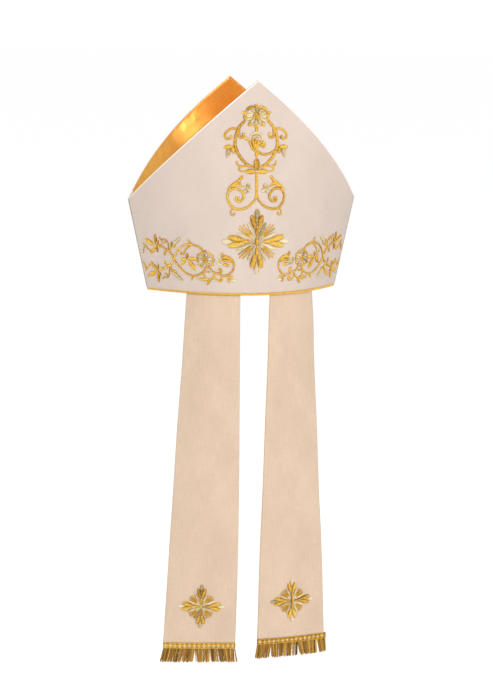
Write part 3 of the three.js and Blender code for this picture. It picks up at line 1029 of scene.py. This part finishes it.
def braid(name):
    """The gimp header: a ribbon, two crossing cords, edge cords and a pale boss in each loop."""
    top = -LAPPET_LENGTH - SEAM_GAP
    low = top - BRAID_HEIGHT
    half = LAPPET_END_HALF_WIDTH
    place = on_lappet(name)
    left_end, right_end = -half - 0.3, half + BRAID_OVERHANG[name]
    s = np.linspace(left_end, right_end, 61)[None]
    z = np.linspace(top + 0.5, low - 0.5, 5)[:, None]
    grid = [np.stack([s + 0 * z, z + 0 * s, lift + 0 * (s + z)], -1) for lift in (0.0, -2.2)]
    uv = np.stack([s + 0 * z, z + 0 * s], -1)
    points, faces, uvs = shell(place(grid[0]), place(grid[1]), lambda i, j: 0.2, uv)
    ribbon = new_piece(f"braid_ribbon_{name}", points, faces, uvs, BRAID, [f"braid_{name}"])
    cords, bosses = Relief(), Relief()
    middle = (top + low) / 2
    pitch = 2 * half / BRAID_LOOPS
    along = np.linspace(left_end, right_end, 15 * BRAID_LOOPS)
    for sign in (-1, 1):
        wave_z = middle + sign * 0.34 * BRAID_HEIGHT * np.cos(math.pi * along / pitch)
        stem(cords, np.stack([along, wave_z], 1)[::3], 1.5, 1.1, start=1, end=1)
        edge = middle + sign * 0.50 * BRAID_HEIGHT
        stem(cords, [(left_end, edge), (0, edge), (right_end, edge)], 1.1, 1.0, start=1, end=1)
    for k in range(-(BRAID_LOOPS // 2), BRAID_LOOPS // 2 + 1):
        spot = k * pitch
        if abs(spot) < half - 1:
            dome(bosses, (spot, middle), 1.45, 2.1, tone=8)
    gimp = cords.piece(f"braid_gimp_{name}", place, BRAID, "gold_thread")
    beads = bosses.piece(f"braid_bosses_{name}", place, SILVER, "silver_thread")
    return ribbon, gimp, beads


# Each row of the fringe: how far out it hangs, and how far apart its strands are.
FRINGE_ROWS = ((-0.4, 1.38), (-1.4, 1.5), (-2.3, 1.62))
STRAND_RADIUS = 0.6


def fringe(name):
    """Bullion strands in three rows. They hang in clumps, which lean and part at their ends."""
    top = -LAPPET_LENGTH - SEAM_GAP - BRAID_HEIGHT + 1.2
    low = top - FRINGE_HEIGHT - 2.2
    half = LAPPET_END_HALF_WIDTH
    strands = Relief()
    t = np.linspace(0, 1, 13)
    borders = np.cumsum(rng.uniform(3.5, 15.0, 40)) - half
    leans = rng.normal(-0.8, 1.7, 41)
    side_way = np.tile([1.0, 0.0, 0.0], (len(t), 1))
    out_way = np.tile([0.0, 0.0, 1.0], (len(t), 1))
    reach = half + FRINGE_FLARE + 1
    for row, (lift, spacing) in enumerate(FRINGE_ROWS):
        count = int(2 * (half - 0.6) / spacing)
        for k in range(count + 1):
            s0 = mix(-half + 0.6, half - 0.6 + BRAID_OVERHANG[name], k / count)
            clump = int(np.searchsorted(borders, s0))
            first = borders[clump - 1] if clump else -half
            pinch = 0.14 * ((first + borders[clump]) / 2 - s0)
            sway = FRINGE_FLARE * s0 / half + leans[clump] + pinch + rng.normal(0, 0.5)
            sway = np.clip(s0 + sway, -reach, reach + BRAID_OVERHANG[name]) - s0
            length = 1 - abs(rng.normal(0, 0.05))
            s = s0 + sway * t**1.2
            z = top + (low - top) * t * length
            bulge = lift + 0.5 * math.sin(s0 / 4.3 + row) * t + rng.normal(0, 0.3) * t
            line = np.stack([s, z, bulge], 1)
            tube(strands, line, STRAND_RADIUS + rng.normal(0, 0.04), 6, side_way, out_way, coil=0.12)
    return strands.piece(f"fringe_strands_{name}", on_lappet(name), BULLION, "bullion", [f"fringe_{name}"])


# ---- The object ----

back = panel(-1, "back")
front = panel(1, "front")
fold = gusset()
rim_cord()
back_stitching = panel_embroidery(-1, "back")
front_stitching = panel_embroidery(1, "front")

for name in ("left", "right"):
    cloth, lining = lappet(name)
    trimmings = [*braid(name), fringe(name), *lappet_cross(name)]

# ---- Floor, light and camera ----

FLOOR_DROP = 0.10
lowest = min(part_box(f"fringe_{name}")[0].z for name in ("left", "right"))


def floor():
    """A wide pale floor. It glows white to the camera, and much less to the object over it."""
    mesh = bpy.data.meshes.new("floor")
    size, z = 60.0, lowest - FLOOR_DROP
    corners = [(-size, -size, z), (size, -size, z), (size, size, z), (-size, size, z)]
    mesh.from_pydata(corners, [], [(0, 1, 2, 3)])
    n = Nodes("pale_floor", Roughness=0.9, Base_Color=(0.93, 0.93, 0.93, 1), Emission_Strength=0.6)
    rays = n.add("ShaderNodeLightPath")
    glow = n.add("ShaderNodeMix", data_type="RGBA")
    n.join(rays, "Is Camera Ray", glow, "Factor")
    glow.inputs[6].default_value = (0.2, 0.2, 0.2, 1)
    glow.inputs[7].default_value = (1, 1, 1, 1)
    n.tree.links.new(glow.outputs[2], n.shader.inputs["Emission Color"])
    mesh.materials.append(n.material)
    placed("floor", mesh)


def area_light(name, place, target, size, watts, colour):
    data = bpy.data.lights.new(name, "AREA")
    data.shape = "SQUARE"
    data.size = size
    data.energy = watts
    data.color = colour
    light = placed(name, data)
    light.location = place
    light.rotation_euler = (Vector(target) - Vector(place)).to_track_quat("-Z", "Y").to_euler()


def studio(strength):
    """An even white surround, which lights the object less than it shows behind it."""
    world = bpy.data.worlds.new("studio")
    world.use_nodes = True
    tree = world.node_tree
    node = tree.nodes["Background"]
    node.inputs["Color"].default_value = (1, 1, 1, 1)
    rays = tree.nodes.new("ShaderNodeLightPath")
    level = tree.nodes.new("ShaderNodeMapRange")
    level.inputs["To Min"].default_value = strength
    tree.links.new(rays.outputs["Is Camera Ray"], level.inputs["Value"])
    tree.links.new(level.outputs["Result"], node.inputs["Strength"])
    bpy.context.scene.world = world


CAMERA_TURN = math.radians(14.12)  # to the left of square-on to the mitre's back
CAMERA_RISE = math.radians(9.48)
CAMERA_ROLL = math.radians(-0.64)
CAMERA_DISTANCE = 2.557
AIM_RIGHT = 0.0070
AIM_HEIGHT = -0.0827
PIXEL_AT_AIM = 0.001268
IMAGE_HEIGHT = 700


def camera():
    """At the photo's viewing angle, looking at the mitre's middle, rolled a little as it was."""
    back = Vector((
        -math.sin(CAMERA_TURN) * math.cos(CAMERA_RISE),
        -math.cos(CAMERA_TURN) * math.cos(CAMERA_RISE),
        math.sin(CAMERA_RISE),
    ))
    right = Vector((math.cos(CAMERA_TURN), -math.sin(CAMERA_TURN), 0))
    up = back.cross(right)
    aim = right * AIM_RIGHT + Vector((0, 0, AIM_HEIGHT))
    rolled_right = right * math.cos(CAMERA_ROLL) - up * math.sin(CAMERA_ROLL)
    rolled_up = right * math.sin(CAMERA_ROLL) + up * math.cos(CAMERA_ROLL)
    data = bpy.data.cameras.new("camera")
    data.sensor_fit = "VERTICAL"
    data.sensor_height = 24
    data.lens = data.sensor_height * CAMERA_DISTANCE / (PIXEL_AT_AIM * IMAGE_HEIGHT)
    data.clip_end = 50
    view = placed("camera", data)
    turn = Matrix((rolled_right, rolled_up, back)).transposed().to_4x4()
    view.matrix_world = Matrix.Translation(aim + back * CAMERA_DISTANCE) @ turn
    bpy.context.scene.camera = view


floor()
studio(0.42)
area_light("soft_box", (-1.1, -2.8, 1.5), (0, 0, -0.05), 1.5, 65, (1.0, 0.99, 0.97))
area_light("spark", (2.0, -2.0, 0.45), (0, 0, 0), 0.5, 18, (1.0, 0.98, 0.94))
area_light("right_card", (2.9, -0.9, 0.2), (0, 0, 0.1), 1.6, 5, (1.0, 0.99, 0.97))
camera()
bpy.context.scene.view_settings.view_transform = "Standard"
